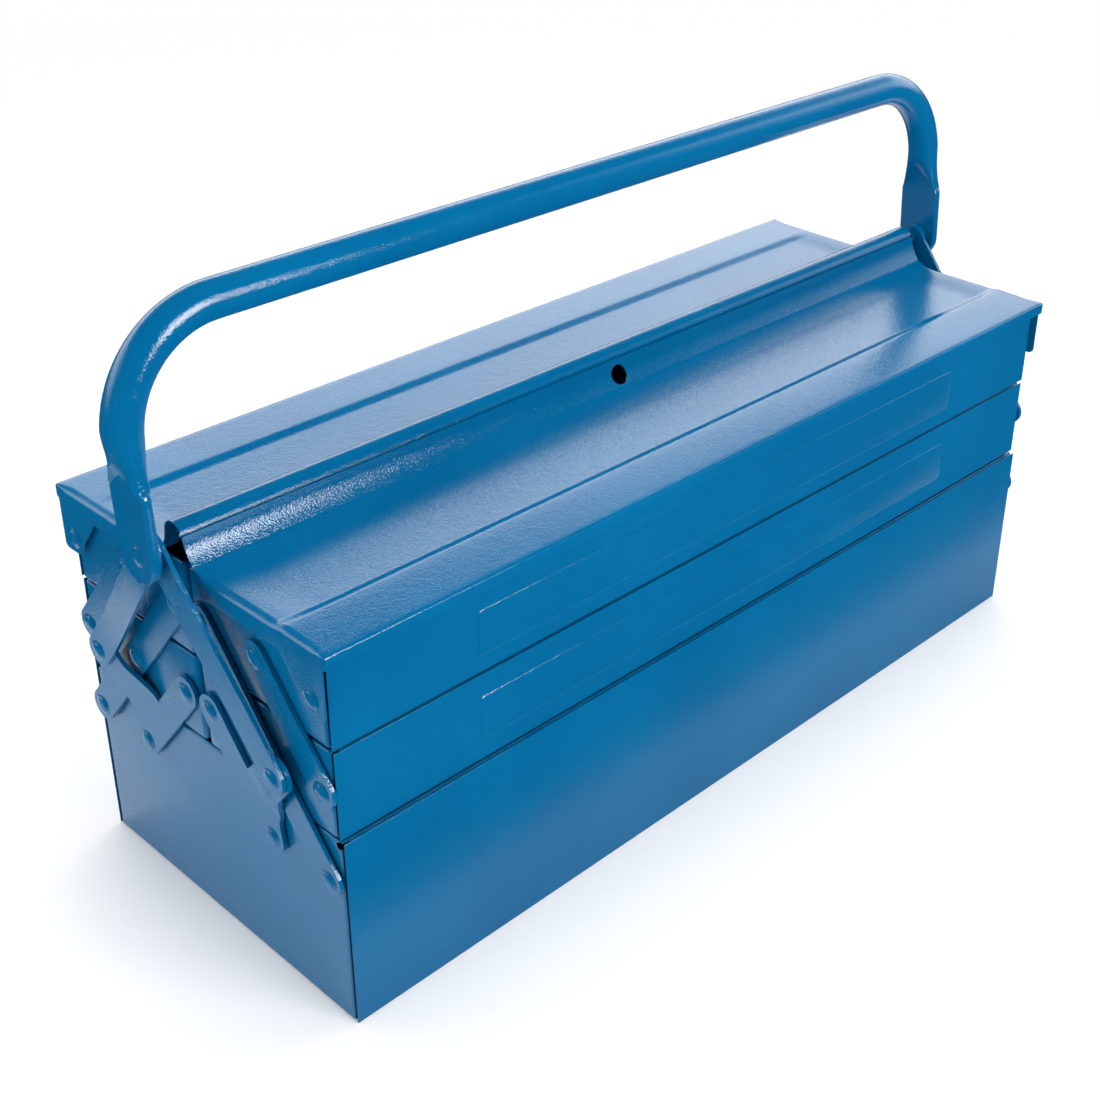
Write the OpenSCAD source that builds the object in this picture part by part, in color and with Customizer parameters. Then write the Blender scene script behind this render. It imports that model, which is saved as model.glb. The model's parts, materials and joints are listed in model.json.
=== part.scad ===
// Cantilever tool box: a bottom tray, two pairs of trays that fold out on
// riveted links, two lids and a swinging tube handle. Millimetres, +Z up,
// +X along the length, the front is -Y. The origin is the middle of the base.

/* [Trays] */
// Length of the bottom tray over its end walls
box_length = 530; // [400:5:700]
// Width of the bottom tray over its long walls
box_width = 203; // [190:1:240]
// Height of the bottom tray
bottom_height = 106; // [100:1:140]
// Height of the middle trays
middle_height = 46.8; // [46:0.1:60]
// Height of the upper trays
upper_height = 49; // [48:0.1:60]
// Thickness of the sheet steel
sheet_t = 0.8; // [0.6:0.1:1]
// Outer radius of the upright corners
corner_r = 1.8; // [1.2:0.1:3]
// Thickness of the folded rim hem
hem_t = 2.2; // [1.8:0.1:2.6]
// Height of the folded rim hem
hem_h = 6; // [4:0.5:8]
// Gap between the bottom tray's rim and the middle trays
rim_gap = 1; // [0.6:0.1:1.4]
// Gap between the middle trays' rims and the upper trays
upper_gap = 1.7; // [1.2:0.1:2.2]
// Gap between the front and rear trays of a pair
centre_gap = 2.4; // [1.6:0.2:3]
// How far the folding trays' long walls stand behind the bottom tray's
side_setback = 2.1; // [1.6:0.1:3]
// How much further each middle tray's end stands out than the bottom tray's
middle_end_step = 0.4; // [0.1:0.1:0.5]
// How much further each upper tray's end stands out than the bottom tray's
upper_end_step = 0.9; // [0.7:0.1:1]

/* [Pressed panels] */
// Length of the pressed panel in the long walls
panel_length = 366; // [200:2:380]
// Height of the pressed panel
panel_height = 24; // [16:1:26]
// How far the panel stands out
panel_step = 0.4; // [0.2:0.1:0.6]

/* [Lids] */
// How far the lids' long lips stand out past the bottom tray's long walls
lid_overhang = 2.8; // [2.2:0.1:4]
// How far the lid ends stand out past the bottom tray's end walls
lid_end_overhang = 4.6; // [4.5:0.1:5]
// Clearance between a lid's flat and the upper tray's rim
lid_gap = 0.3; // [0.2:0.05:0.6]
// Depth of the lip along a lid's long edge
lip_depth = 6.5; // [5:0.5:8]
// Depth of the flange across a lid's end
flange_depth = 10.6; // [9:0.1:11]
// Width of the raised outer strip of a lid
strip_width = 29; // [25:1:34]
// Drop of a lid's flat behind the raised strip
strip_drop = 1.2; // [0.8:0.1:1.6]
// Height of the ridge over the lid's outer strip
ridge_rise = 14.2; // [12:0.2:16]
// Radius of the rolled cover over the ridge
roll_r = 7; // [6.6:0.1:7.4]
// Bore of the padlock hole in the ridge
padlock_d = 11; // [8:0.5:12]
// Radius of the lid ears round their rivets
ear_r = 8; // [7:0.5:8.5]

/* [Links] */
// Thickness of the link bars
bar_t = 2.2; // [2:0.1:2.2]
// Width of the link bars
bar_w = 16.5; // [14:0.5:17]
// Distance of the outer pivots from the bottom tray's long wall
pivot_inset = 8.8; // [8.5:0.1:10]
// Distance of the inner pivots from the middle plane
pivot_mid = 9.9; // [9.7:0.1:12]
// Distance of the bottom tray's pivots under its rim
pivot_drop = 23.1; // [22:0.1:26]
// How much a link rises beyond the height of a middle tray
link_extra = 2.3; // [2:0.1:2.6]
// Clearance between a link bar and what it passes
bar_gap = 0.3; // [0.2:0.05:0.35]
// Ear pivot of a crank, outward from the crank's bottom pivot
ear_out = 18.3; // [17:0.1:19]
// Ear pivot of a crank, above the crank's bottom pivot
ear_up = 48.6; // [47:0.1:50]
// How far the crank's ear is bent out of the plane of its bar
ear_step = 7; // [6.6:0.1:7]
// Width of a handle arm
arm_w = 16.5; // [14:0.5:17]
// How far the front arms are set outward at the handle
front_arm_step = 3; // [2.8:0.1:3.2]

/* [Rivets] */
// Diameter of the link rivets' shanks
rivet_d = 5; // [4:0.5:6]
// Running clearance on each side of a shank
pin_gap = 0.05; // [0.02:0.01:0.1]
// Diameter of the link rivets' heads
head_d = 9.4; // [9:0.2:10.4]
// Height of the rivet heads
head_h = 1.4; // [1:0.1:1.6]
// Diameter of the handle rivets' shanks
handle_rivet_d = 6; // [5:0.5:8]

/* [Handle] */
// Height of the handle's pivot over the lids' outer strip
handle_pivot_rise = 11.2; // [9:0.2:13]
// Height of the grip's axis over the handle's pivot
grip_rise = 102.2; // [99:0.2:112]
// Outer diameter of the handle tube
tube_d = 18.2; // [16:0.2:19]
// Wall of the handle tube
tube_wall = 1.5; // [1.2:0.1:2]
// Radius of the bends, at the tube's axis
bend_r = 51; // [36:1:56]
// Width of the flattened feet
foot_w = 25.4; // [22:0.2:27]
// Thickness of the flattened feet
foot_t = 4.4; // [4:0.1:5]
// Height over the pivot where the foot starts to swell
foot_flat_rise = 28; // [24:1:30]
// Height over the pivot where the full tube starts
foot_round_rise = 46; // [42:1:52]
// How far the upright handle leans to the rear, in degrees
handle_lean = 2.8; // [0:0.2:4]
// How far the tube's axis stands outside the foot's middle
foot_shift = 0.8; // [0.5:0.1:2]

/* [Hidden] */
$fn = 64;
tiny = 0.01;
lap = 1;
paint = [0.03, 0.33, 0.58];
paint_dark = [0.03, 0.27, 0.47];

// Faces along X, counted outward from the middle of the box
bottom_end = box_length / 2;
middle_end = bottom_end + middle_end_step;
upper_end = bottom_end + upper_end_step;
lid_end = bottom_end + lid_end_overhang;
bar_x = upper_end + bar_gap;
ear_x = bar_x + ear_step;
arm_gap = 0.2;
arm_x = ear_x + bar_t + arm_gap;
front_arm_x = arm_x + front_arm_step;
layer_gap = 0.1;
rear_arm_x = front_arm_x + bar_t + layer_gap;
foot_x = rear_arm_x + bar_t + layer_gap;
leg_x = foot_x + foot_t / 2 + foot_shift;

// Heights
middle_base = bottom_height + rim_gap;
middle_rim = middle_base + middle_height;
upper_base = middle_rim + upper_gap;
upper_rim = upper_base + upper_height;
lid_top = upper_rim + lid_gap + sheet_t + strip_drop;

// Places across the box, as distances from its middle plane
tray_out = box_width / 2 - side_setback;
tray_in = centre_gap / 2;
tray_width = tray_out - tray_in;
lid_out = box_width / 2 + lid_overhang;

// Pivots as [distance from the middle plane, height]
pivot_out = box_width / 2 - pivot_inset;
link_reach = (pivot_out - pivot_mid) / 2;
link_rise = middle_height + link_extra;
pivot_z = bottom_height - pivot_drop;
function pivot(column, row) = [pivot_mid + column * link_reach, pivot_z + row * link_rise];
crank_foot = pivot(1, 0);
crank_top = pivot(0, 1);
crank_ear = crank_foot + [ear_out, ear_up];
lid_pivot = pivot(2, 2);
handle_pivot = [0, lid_top + handle_pivot_rise];
grip_z = handle_pivot[1] + grip_rise;
// The bends leave a short straight stretch of tube above each foot
bend = min(bend_r, grip_rise - foot_round_rise - tube_wall - 1);
bore_d = rivet_d + 2 * pin_gap;
head_gap = 0.1;

// ---------- shared shapes ----------

// Draws its flat children in the plane across X, from x0 outward by t
module plate(x0, t) {
    translate([x0, 0, 0]) rotate([90, 0, 90]) linear_extrude(t) children();
}

// Puts its children, made for the right end or the rear, at the other side
module left_end() { mirror([1, 0, 0]) children(); }
module at_front() { mirror([0, 1, 0]) children(); }

// Outline of a bar with round ends from a to b. Its sides stand just inside the
// ends' circles, so that each side meets them at a clean corner.
module bar_2d(a, b, r) {
    half = r - 0.03;
    translate(a) circle(r);
    translate(b) circle(r);
    translate(a) rotate(atan2(b[1] - a[1], b[0] - a[0])) translate([0, -half])
        square([norm(b - a), 2 * half]);
}

module holes_2d(places, d) {
    for (p = places) translate(p) circle(d = d);
}

// Rounded rectangle from corner a to corner b
module rounded_2d(a, b, r) {
    translate([a[0] + r, a[1]]) square([b[0] - a[0] - 2 * r, b[1] - a[1]]);
    translate([a[0], a[1] + r]) square([b[0] - a[0], b[1] - a[1] - 2 * r]);
    for (x = [a[0] + r, b[0] - r], y = [a[1] + r, b[1] - r]) translate([x, y]) circle(r);
}

// Side view of a strip of thickness t that is bent out by step between s0 and s1
function joggle(length, s0, s1, step, t) =
    let (k = t * tan(atan2(step, s1 - s0) / 2))
    [[-length, 0], [s0, 0], [s1, step], [length, step],
     [length, step + t], [s1 - k, step + t], [s0 - k, t], [-length, t]];

// A joggled strip that runs in the plane across X from a towards b
module joggled(a, b, x0, s0, s1, step, half_width) {
    d = (b - a) / norm(b - a);
    multmatrix([[0, 1, 0, x0], [d[0], 0, d[1], a[0]], [d[1], 0, -d[0], a[1]], [0, 0, 0, 1]])
        translate([0, 0, -half_width]) linear_extrude(2 * half_width)
            polygon(joggle(2 * norm(b - a), s0, s1, step, bar_t));
}

// Points of a path moved sideways by t, each corner mitred
function unit(v) = v / norm(v);
function left_of(v) = [-v[1], v[0]];
function corner_shift(p, i, t) =
    let (n = len(p) - 1,
         before = unit(p[max(i, 1)] - p[max(i, 1) - 1]),
         after = unit(p[min(i, n - 1) + 1] - p[min(i, n - 1)]),
         m = unit(left_of(before) + left_of(after)))
    m * t / (m * left_of(after));
function sheet_along(p, t) =
    concat(p, [for (i = [len(p) - 1:-1:0]) p[i] + corner_shift(p, i, t)]);

function arc(centre, r, from, to, steps) =
    [for (i = [0:steps]) let (a = from + (to - from) * i / steps)
        centre + r * [cos(a), sin(a)]];

// ---------- trays ----------

// An open tray of sheet steel with a hemmed rim. Its corners are a and b.
module tray_shell(a, b, base, rim) {
    inner_r = max(corner_r - sheet_t, 0.2);
    difference() {
        translate([0, 0, base]) linear_extrude(rim - base) rounded_2d(a, b, corner_r);
        translate([0, 0, base + sheet_t]) linear_extrude(rim - base)
            rounded_2d(a + [hem_t, hem_t], b - [hem_t, hem_t], inner_r);
        translate([0, 0, base + sheet_t]) linear_extrude(rim - base - sheet_t - hem_h)
            rounded_2d(a + [sheet_t, sheet_t], b - [sheet_t, sheet_t], inner_r);
    }
}

// The pressed panel in the long wall at y = wall, which faces +Y, and its lift from the middle
module panel(wall, base, rim, lift) {
    z0 = (base + rim - hem_h - panel_height) / 2 + lift;
    translate([-panel_length / 2, wall, z0]) cube([panel_length, panel_step, panel_height]);
}

// Round holes through both end walls
module end_holes(places) {
    for (p = places) translate([0, p[0], p[1]]) rotate([0, 90, 0])
        cylinder(h = box_length + 40, d = rivet_d, center = true);
}

module bottom_tray() {
    color(paint) difference() {
        tray_shell([-bottom_end, -box_width / 2], [bottom_end, box_width / 2], 0, bottom_height);
        end_holes([for (side = [-1, 1], c = [1, 2]) [side * pivot(c, 0)[0], pivot(c, 0)[1]]]);
    }
}

module fold_tray(end, base, rim, panel_lift, places) {
    color(paint) difference() {
        union() {
            tray_shell([-end, tray_in], [end, tray_out], base, rim);
            panel(tray_out, base, rim, panel_lift);
        }
        panel(tray_out - sheet_t, base, rim, panel_lift);
        end_holes(places);
    }
}

module rear_middle_tray() {
    fold_tray(middle_end, middle_base, middle_rim, 2.3, [for (c = [0, 1, 2]) pivot(c, 1)]);
}
module front_middle_tray() { at_front() rear_middle_tray(); }
module rear_upper_tray() {
    fold_tray(upper_end, upper_base, upper_rim, -1, [for (c = [0, 1, 2]) pivot(c, 2)]);
}
module front_upper_tray() { at_front() rear_upper_tray(); }

// ---------- lids ----------

lid_flat = lid_top - strip_drop;
lip_r = 1.4;
step_out = lid_out - strip_width;
step_width = 7;
sweep_start = 30;
foot_of_ridge = [13, lid_flat + 3.4];
roll_centre = [0.5, lid_top + ridge_rise - 0.4];
roll_end_angle = 154;
cover_gap = 0.95;

// Top of a lid from its lip to the foot of the ridge
lid_outer_path = concat(
    [[lid_out, lid_top - lip_depth]],
    arc([lid_out - lip_r, lid_top - lip_r], lip_r, 0, 90, 4),
    [[step_out, lid_top], [step_out - step_width, lid_flat]],
    [for (i = [0:5]) let (s = i / 5)
        [sweep_start + (foot_of_ridge[0] - sweep_start) * s,
         lid_flat + (foot_of_ridge[1] - lid_flat) * s * s]]);
// The front upstand stops short of the cover's edge, so that the lid can lift out from under it
front_edge = -(roll_centre[0] + roll_r * cos(roll_end_angle)) + cover_gap;
// It rises past the height of that edge, so that no slot shows under the cover.
front_ridge_path = [[front_edge + 3.8, lid_flat + 6.8], [front_edge + 1.9, lid_flat + 10],
                    [front_edge + 0.6, lid_flat + 13.6],
                    [front_edge, roll_centre[1] + roll_r * sin(roll_end_angle) + 0.6]];
rear_ridge_path = concat([[10.6, lid_flat + 6.8], [8.6, lid_flat + 10.4]],
    arc(roll_centre, roll_r, 0, roll_end_angle, 16));

// Outline of a lid's end flange with the ear round its rivet
module flange_2d() {
    low = lid_top - flange_depth;
    difference() {
        union() {
            polygon(concat([for (p = lid_outer_path) if (p[0] < lid_out - tiny)
                        [p[0], p[1] - sheet_t / 2]],
                [[foot_of_ridge[0], low], [lid_pivot[0] - 2.6 * ear_r, low],
                 [lid_pivot[0] - 1.75 * ear_r, lid_pivot[1] + 0.85 * ear_r],
                 [lid_pivot[0] - ear_r, lid_pivot[1]],
                 [lid_pivot[0], lid_pivot[1] - ear_r],
                 [lid_out - sheet_t, lid_pivot[1] - ear_r * 0.8],
                 [lid_out - sheet_t, lid_top - sheet_t]]));
            translate(lid_pivot) circle(ear_r);
        }
        holes_2d([lid_pivot], bore_d);
    }
}

// A rear lid whose top follows the given path
module lid_from(path) {
    plate(-lid_end, 2 * lid_end) polygon(sheet_along(path, sheet_t));
    plate(lid_end - sheet_t, sheet_t) flange_2d();
    plate(-lid_end, sheet_t) flange_2d();
}

// Round hole for a padlock's shackle, punched square to the ridge's sloping wall
padlock_tilt = 32;
module padlock_hole() {
    translate([0, 9, lid_flat + 8.6]) rotate([padlock_tilt - 90, 0, 0]) translate([0, 0, -2.5])
        cylinder(h = 8, d = padlock_d);
}

module rear_lid() {
    color(paint) difference() {
        lid_from(concat(lid_outer_path, rear_ridge_path));
        padlock_hole();
    }
}
module front_lid() {
    color(paint) at_front() difference() {
        lid_from(concat(lid_outer_path, front_ridge_path));
        padlock_hole();
    }
}

// ---------- links ----------

module flat_bar(a, b) {
    color(paint_dark) plate(bar_x, bar_t) difference() {
        bar_2d(a, b, bar_w / 2);
        holes_2d([a, b, (a + b) / 2], bore_d);
    }
}
module long_bar() { flat_bar(pivot(2, 0), pivot(0, 2)); }
module short_bar() {
    color(paint_dark) plate(bar_x, bar_t) difference() {
        bar_2d(pivot(2, 1), pivot(1, 2), bar_w / 2);
        holes_2d([pivot(2, 1), pivot(1, 2)], bore_d);
    }
}
module rear_long_bar_right() { long_bar(); }
module rear_long_bar_left() { left_end() long_bar(); }
module front_long_bar_right() { at_front() long_bar(); }
module front_long_bar_left() { at_front() left_end() long_bar(); }
module rear_short_bar_right() { short_bar(); }
module rear_short_bar_left() { left_end() short_bar(); }
module front_short_bar_right() { at_front() short_bar(); }
module front_short_bar_left() { at_front() left_end() short_bar(); }

// The crank's lug starts at a fold across this point, and points at the ear pivot
fold_half = 14.4;
bar_dir = unit(crank_top - crank_foot);
lug_root = crank_foot + bar_dir * 18.9 + [bar_dir[1], -bar_dir[0]] * 10.4;
lug_dir = unit(crank_ear - lug_root);
lug_side = [lug_dir[1], -lug_dir[0]];
lug_length = norm(crank_ear - lug_root);
lug_ear_r = 9.2;
lug_ramp = 24;
function on_lug(s, w) = lug_root + lug_dir * s + lug_side * w;

module lug_2d() {
    polygon([on_lug(-tiny, -fold_half), on_lug(12, -13), on_lug(lug_length - 6, -10.2),
             on_lug(lug_length - 1, -lug_ear_r), on_lug(lug_length, 0),
             on_lug(lug_length - 1, lug_ear_r), on_lug(24, 9.1),
             on_lug(12, 10.8), on_lug(6, 12.6), on_lug(-tiny, fold_half)]);
    translate(crank_ear) circle(lug_ear_r);
}

module crank() {
    color(paint_dark) difference() {
        union() {
            plate(bar_x, bar_t) {
                bar_2d(crank_foot, crank_top, bar_w / 2);
                polygon([on_lug(0, -fold_half), on_lug(0, fold_half), on_lug(-3, 17),
                         on_lug(-6, 20.5), crank_foot + [bar_w / 2, 0], crank_foot]);
            }
            intersection() {
                plate(bar_x, ear_step + bar_t) lug_2d();
                joggled(lug_root, crank_ear, bar_x, 0, lug_ramp, ear_step, 30);
            }
        }
        plate(bar_x - 1, ear_step + bar_t + 2) holes_2d([crank_foot, crank_top, crank_ear], bore_d);
    }
}
module rear_crank_right() { crank(); }
module rear_crank_left() { left_end() crank(); }
module front_crank_right() { at_front() crank(); }
module front_crank_left() { at_front() left_end() crank(); }

// A handle arm from the crank's ear to the handle's pivot, bent out by step on the way
arm_bend_start = 24;
arm_bend_end = 88;
module arm(step) {
    color(paint_dark) difference() {
        intersection() {
            plate(arm_x - 1, step + bar_t + 2) bar_2d(crank_ear, handle_pivot, arm_w / 2);
            joggled(crank_ear, handle_pivot, arm_x, arm_bend_start, arm_bend_end, step, arm_w);
        }
        plate(arm_x - 1, step + bar_t + 2) {
            holes_2d([crank_ear], rivet_d);
            holes_2d([handle_pivot], handle_rivet_d + 2 * pin_gap);
        }
    }
}
module rear_arm_right() { arm(rear_arm_x - arm_x); }
module rear_arm_left() { left_end() rear_arm_right(); }
module front_arm_right() { at_front() arm(front_arm_step); }
module front_arm_left() { at_front() left_end() arm(front_arm_step); }

// ---------- handle ----------

module leg_and_bend() {
    translate([leg_x, 0, handle_pivot[1] + foot_round_rise])
        cylinder(h = grip_rise - foot_round_rise - bend, d = tube_d);
    translate([leg_x - bend, 0, grip_z - bend]) rotate([90, 0, 0])
        rotate_extrude(angle = 90) translate([bend, 0]) circle(d = tube_d);
}

module foot() {
    z = handle_pivot[1];
    plate(foot_x, foot_t) difference() {
        union() {
            translate(handle_pivot) circle(d = foot_w);
            translate([-foot_w / 2, z]) square([foot_w, foot_flat_rise]);
        }
        holes_2d([handle_pivot], handle_rivet_d + 2 * pin_gap);
    }
    hull() {
        translate([foot_x, -foot_w / 2, z + foot_flat_rise - lap]) cube([foot_t, foot_w, lap]);
        translate([leg_x, 0, z + foot_round_rise]) cylinder(h = lap, d = tube_d, $fn = 32);
    }
}

module handle() {
    inner_d = tube_d - 2 * tube_wall;
    h = handle_pivot[1];
    color(paint) translate([0, 0, h]) rotate([-handle_lean, 0, 0]) translate([0, 0, -h]) {
        difference() {
            union() {
                for (m = [0, 1]) mirror([m, 0, 0]) leg_and_bend();
                translate([bend - leg_x, 0, grip_z]) rotate([0, 90, 0])
                    cylinder(h = 2 * (leg_x - bend), d = tube_d);
            }
            for (m = [0, 1]) mirror([m, 0, 0]) {
                translate([leg_x, 0, handle_pivot[1] + foot_round_rise + tube_wall])
                    cylinder(h = grip_rise - foot_round_rise - tube_wall - bend, d = inner_d);
                translate([leg_x - bend, 0, grip_z - bend]) rotate([90, 0, 0])
                    rotate_extrude(angle = 90) translate([bend, 0]) circle(d = inner_d);
            }
            translate([bend - leg_x, 0, grip_z]) rotate([0, 90, 0])
                cylinder(h = 2 * (leg_x - bend), d = inner_d);
        }
        for (m = [0, 1]) mirror([m, 0, 0]) foot();
    }
}

// ---------- rivets ----------

// A rivet along +X: formed tail inside, collar from wall to collar_end, then the head
module rivet(place, tail_x, wall_x, collar_end, head_x, shank, head) {
    tail_h = 1.2;
    edge = 0.4;
    translate([0, place[0], place[1]]) rotate([0, 90, 0]) rotate_extrude() polygon([
        [0, tail_x - tail_h], [shank * 0.7, tail_x - tail_h],
        [shank * 0.85, tail_x - tail_h + edge], [shank * 0.85, tail_x],
        [shank / 2, tail_x], [shank / 2, wall_x],
        [collar_end > wall_x ? shank * 0.85 : shank / 2, wall_x],
        [collar_end > wall_x ? shank * 0.85 : shank / 2, collar_end],
        [shank / 2, collar_end], [shank / 2, head_x], [head / 2, head_x],
        [head / 2, head_x + edge], [head * 0.36, head_x + edge],
        for (a = [0:15:90]) [head * 0.36 * cos(a), head_x + edge + (head_h - edge) * sin(a)]]);
}

module link_rivet(place, end) {
    rivet(place, end - sheet_t, end, bar_x - head_gap, bar_x + bar_t + head_gap, rivet_d, head_d);
}

module both_ends() { for (m = [0, 1]) mirror([m, 0, 0]) children(); }

module bottom_tray_rivets() {
    color(paint_dark) for (m = [0, 1], c = [1, 2]) mirror([0, m, 0]) both_ends()
        link_rivet(pivot(c, 0), bottom_end);
}
module rear_middle_rivets() {
    color(paint_dark) for (c = [0, 1, 2]) both_ends() link_rivet(pivot(c, 1), middle_end);
}
module front_middle_rivets() { at_front() rear_middle_rivets(); }
module rear_upper_rivets() {
    color(paint_dark) for (c = [0, 1]) both_ends() link_rivet(pivot(c, 2), upper_end);
}
module front_upper_rivets() { at_front() rear_upper_rivets(); }
module rear_lid_rivets() {
    color(paint_dark) both_ends() rivet(lid_pivot, upper_end - sheet_t, upper_end,
        lid_end - sheet_t - head_gap, lid_end + head_gap, rivet_d, head_d);
}
module front_lid_rivets() { at_front() rear_lid_rivets(); }

// The rivet in an arm's lower end fills the arm and stops at the crank's ear
module arm_rivet() {
    translate([0, crank_ear[0], crank_ear[1]]) rotate([0, 90, 0]) rotate_extrude() polygon([
        [0, arm_x], [rivet_d / 2, arm_x], [rivet_d / 2, arm_x + bar_t],
        [head_d / 2, arm_x + bar_t], [head_d / 2, arm_x + bar_t + 0.4],
        [head_d * 0.36, arm_x + bar_t + 0.4],
        for (a = [0:15:90]) [head_d * 0.36 * cos(a), arm_x + bar_t + 0.4 + (head_h - 0.4) * sin(a)]]);
}
module rear_arm_rivets() { color(paint_dark) both_ends() arm_rivet(); }
module front_arm_rivets() { at_front() rear_arm_rivets(); }

module handle_rivets() {
    color(paint_dark) both_ends() rivet(handle_pivot, front_arm_x - layer_gap,
        front_arm_x - layer_gap, front_arm_x - layer_gap, foot_x + foot_t + head_gap,
        handle_rivet_d, head_d);
}

bottom_tray();
front_middle_tray();
rear_middle_tray();
front_upper_tray();
rear_upper_tray();
front_lid();
rear_lid();
front_long_bar_left();
front_long_bar_right();
rear_long_bar_left();
rear_long_bar_right();
front_short_bar_left();
front_short_bar_right();
rear_short_bar_left();
rear_short_bar_right();
front_crank_left();
front_crank_right();
rear_crank_left();
rear_crank_right();
front_arm_left();
front_arm_right();
rear_arm_left();
rear_arm_right();
handle();
bottom_tray_rivets();
front_middle_rivets();
rear_middle_rivets();
front_upper_rivets();
rear_upper_rivets();
front_lid_rivets();
rear_lid_rivets();
front_arm_rivets();
rear_arm_rivets();
handle_rivets();
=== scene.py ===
"""Looks of the cantilever tool box: glossy hammered enamel on folded sheet steel.

Lengths are in metres, in the CAD's frame: X runs along the box, with its near end in the
photograph at -X, the front is at -Y, and Z is up.
"""

import json
import math

import bmesh
import bpy
from mathutils import Matrix, Vector


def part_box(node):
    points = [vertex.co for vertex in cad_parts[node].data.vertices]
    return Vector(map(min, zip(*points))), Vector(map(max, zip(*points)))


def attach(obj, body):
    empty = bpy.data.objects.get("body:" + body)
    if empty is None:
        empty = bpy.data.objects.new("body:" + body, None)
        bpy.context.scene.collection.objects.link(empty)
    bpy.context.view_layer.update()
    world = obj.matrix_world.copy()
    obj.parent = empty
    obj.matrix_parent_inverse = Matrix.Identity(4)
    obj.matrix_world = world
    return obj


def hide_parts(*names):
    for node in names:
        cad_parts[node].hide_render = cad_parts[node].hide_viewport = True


MM = 0.001
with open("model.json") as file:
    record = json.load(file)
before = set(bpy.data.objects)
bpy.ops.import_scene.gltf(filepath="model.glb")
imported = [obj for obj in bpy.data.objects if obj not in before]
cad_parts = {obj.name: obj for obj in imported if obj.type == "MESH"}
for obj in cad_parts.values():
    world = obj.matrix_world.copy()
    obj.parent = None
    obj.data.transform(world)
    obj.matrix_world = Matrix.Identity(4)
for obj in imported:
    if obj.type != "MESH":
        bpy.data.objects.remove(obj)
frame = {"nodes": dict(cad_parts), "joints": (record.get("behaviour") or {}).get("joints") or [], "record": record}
nodes = frame["nodes"]
joints = {joint["name"]: joint for joint in frame["joints"]}
body_of = {
    node: body
    for body, members in frame["record"]["behaviour"]["bodies"].items()
    for node in members
}
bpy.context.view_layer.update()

# ---------- camera, at the photograph's angle ----------

IMAGE = 1100
CAMERA_AT = Vector((-597.0, -574.1, 591.0)) * MM
YAW, PITCH, CAMERA_ROLL = (math.radians(a) for a in (45.84, -28.81, 0.69))
FOCAL_PX = 1691.7
CENTRE_PX = (597.5, 498.2)
SENSOR_WIDTH = 36
CLIP_START = 0.02


def make_camera():
    """The photograph's camera, fitted to the box's edges in it."""
    data = bpy.data.cameras.new("camera")
    data.sensor_width = SENSOR_WIDTH
    data.lens = FOCAL_PX * SENSOR_WIDTH / IMAGE
    data.shift_x = (IMAGE / 2 - CENTRE_PX[0]) / IMAGE
    data.shift_y = (CENTRE_PX[1] - IMAGE / 2) / IMAGE
    data.clip_start = CLIP_START
    camera = bpy.data.objects.new("camera", data)
    camera.matrix_world = (
        Matrix.Translation(CAMERA_AT)
        @ Matrix.Rotation(-YAW, 4, "Z")
        @ Matrix.Rotation(math.pi / 2 + PITCH, 4, "X")
        @ Matrix.Rotation(CAMERA_ROLL, 4, "Z")
    )
    bpy.context.collection.objects.link(camera)
    bpy.context.scene.camera = camera


# ---------- materials ----------


class Tree:
    """A short way to build a node tree."""

    def __init__(self, tree):
        self.tree = tree

    def set(self, socket, value):
        """Links a socket to another node's output, or gives it a value."""
        if isinstance(value, bpy.types.NodeSocket):
            self.tree.links.new(value, socket)
        else:
            socket.default_value = value

    def add(self, kind, inputs=None, **settings):
        node = self.tree.nodes.new(kind)
        for name, value in settings.items():
            setattr(node, name, value)
        for name, value in (inputs or {}).items():
            self.set(node.inputs[name], value)
        return node

    def math(self, operation, *values):
        node = self.add("ShaderNodeMath", operation=operation)
        for socket, value in zip(node.inputs, values):
            self.set(socket, value)
        return node.outputs["Value"]

    def ramp(self, fac, stops):
        node = self.add("ShaderNodeValToRGB", {"Fac": fac})
        for element, (place, colour) in zip(node.color_ramp.elements, stops):
            element.position = place
            element.color = (*colour, 1)
        return node.outputs["Color"]


BLUE = (0.0006, 0.142, 0.335)
BLUE_DEEP = (0.0003, 0.128, 0.31)
BLUE_STOPS = ((0.4, BLUE_DEEP), (0.6, BLUE))
PATCH_SCALE = 9
# Noise scale and bump height of the fine and the coarse orange peel
PEEL = ((1150, 0.13 * MM), (170, 0.07 * MM))
ENAMEL_ROUGHNESS = 0.06
ENAMEL_IOR = 1.5
MATT_ROUGHNESS = 0.9
# Near-black of the painted shade in the walls' seams and inside the corner reliefs' holes
PAINTED_SHADE_LEVEL = 0.002
GLOW_NEAR, GLOW_FAR = 0.9, 4.0


def new_material(name):
    """An empty material, with its node tree and its shader."""
    material = bpy.data.materials.new(name)
    material.use_nodes = True
    return material, Tree(material.node_tree), material.node_tree.nodes["Principled BSDF"]


def enamel(name):
    """Hammered enamel: orange peel of two sizes over a slightly uneven blue."""
    material, tree, shader = new_material(name)
    place = tree.add("ShaderNodeTexCoord").outputs["Object"]
    under = {}
    for scale, height in PEEL:
        peel = tree.add(
            "ShaderNodeTexNoise", {"Vector": place, "Scale": scale, "Detail": 1, "Roughness": 0.5}
        )
        bump = tree.add(
            "ShaderNodeBump",
            {"Height": peel.outputs["Fac"], "Strength": 1, "Distance": height, **under},
        )
        under = {"Normal": bump.outputs["Normal"]}
    tint = tree.add("ShaderNodeTexNoise", {"Vector": place, "Scale": PATCH_SCALE, "Detail": 3})
    tree.set(shader.inputs["Base Color"], tree.ramp(tint.outputs["Fac"], BLUE_STOPS))
    tree.set(shader.inputs["Normal"], under["Normal"])
    shader.inputs["Roughness"].default_value = ENAMEL_ROUGHNESS
    shader.inputs["IOR"].default_value = ENAMEL_IOR
    return material


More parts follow.
